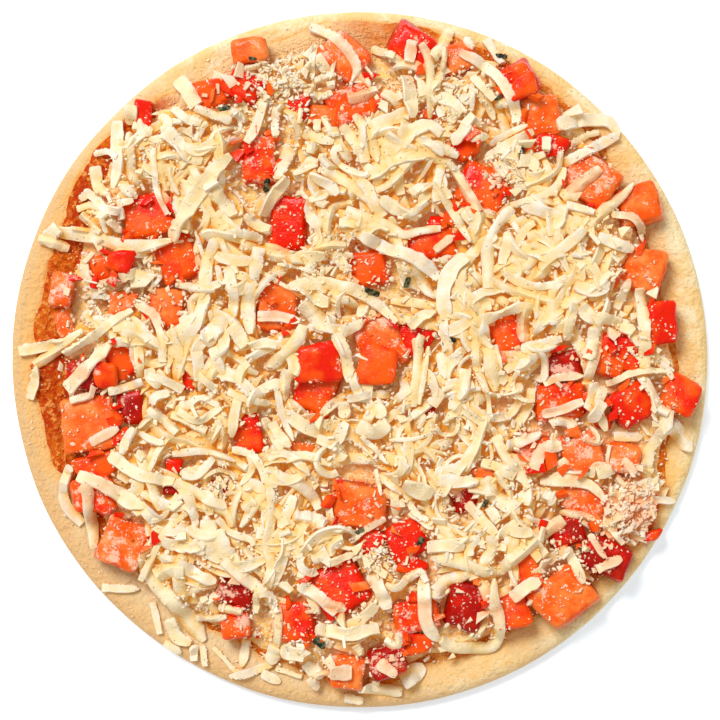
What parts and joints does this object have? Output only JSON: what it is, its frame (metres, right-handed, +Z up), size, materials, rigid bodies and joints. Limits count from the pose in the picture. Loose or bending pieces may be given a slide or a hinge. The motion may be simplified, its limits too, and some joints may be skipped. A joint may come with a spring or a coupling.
{
  "type": "margherita pizza",
  "caption": "Unbaked round margherita pizza: a flat pale dough base with a low rim, tomato sauce, a heap of grated mozzarella and diced tomato, with a few basil flakes.",
  "frame": {"origin": "middle of the dough's underside, on the surface the pizza lies on", "axes": "+Z up, out of the topped face; +Y towards the top edge of the picture, +X towards its right edge"},
  "size_m": [0.28, 0.28, 0.0252],
  "materials": {
    "raw_dough": "matte, floury, pale raw dough",
    "tomato_sauce": "moist, slightly glossy sauce",
    "mozzarella": "satin, pale cream cheese",
    "tomato": "wet, glossy tomato flesh and skin"
  },
  "bodies": {
    "root": {"dough_base": "raw_dough", "tomato_sauce": "tomato_sauce", "grated_mozzarella": "mozzarella", "tomato_die_01": "tomato", "tomato_die_02": "tomato", "tomato_die_03": "tomato", "tomato_die_04": "tomato", "tomato_die_05": "tomato", "tomato_die_06": "tomato", "tomato_die_07": "tomato", "tomato_die_08": "tomato", "tomato_die_09": "tomato", "tomato_die_10": "tomato", "tomato_die_11": "tomato", "tomato_die_12": "tomato", "tomato_die_13": "tomato", "tomato_die_14": "tomato", "tomato_die_15": "tomato", "tomato_die_16": "tomato", "tomato_die_17": "tomato", "tomato_die_18": "tomato", "tomato_die_19": "tomato", "tomato_die_20": "tomato", "tomato_die_21": "tomato", "tomato_die_22": "tomato", "tomato_die_23": "tomato", "tomato_die_24": "tomato", "tomato_die_25": "tomato", "tomato_die_26": "tomato", "tomato_die_27": "tomato", "tomato_die_28": "tomato", "tomato_die_29": "tomato", "tomato_die_30": "tomato", "tomato_die_31": "tomato", "tomato_die_32": "tomato", "tomato_die_33": "tomato", "tomato_die_34": "tomato", "tomato_die_35": "tomato", "tomato_die_36": "tomato", "tomato_die_37": "tomato", "tomato_die_38": "tomato", "tomato_die_39": "tomato", "tomato_die_40": "tomato", "tomato_die_41": "tomato", "tomato_die_42": "tomato", "tomato_die_43": "tomato", "tomato_die_44": "tomato", "tomato_die_45": "tomato", "tomato_die_46": "tomato", "tomato_die_47": "tomato", "tomato_die_48": "tomato", "tomato_die_49": "tomato", "tomato_die_50": "tomato", "tomato_die_51": "tomato", "tomato_die_52": "tomato", "tomato_die_53": "tomato", "tomato_die_54": "tomato", "tomato_die_55": "tomato", "tomato_die_56": "tomato", "tomato_die_57": "tomato"}
  },
  "joints": []
}
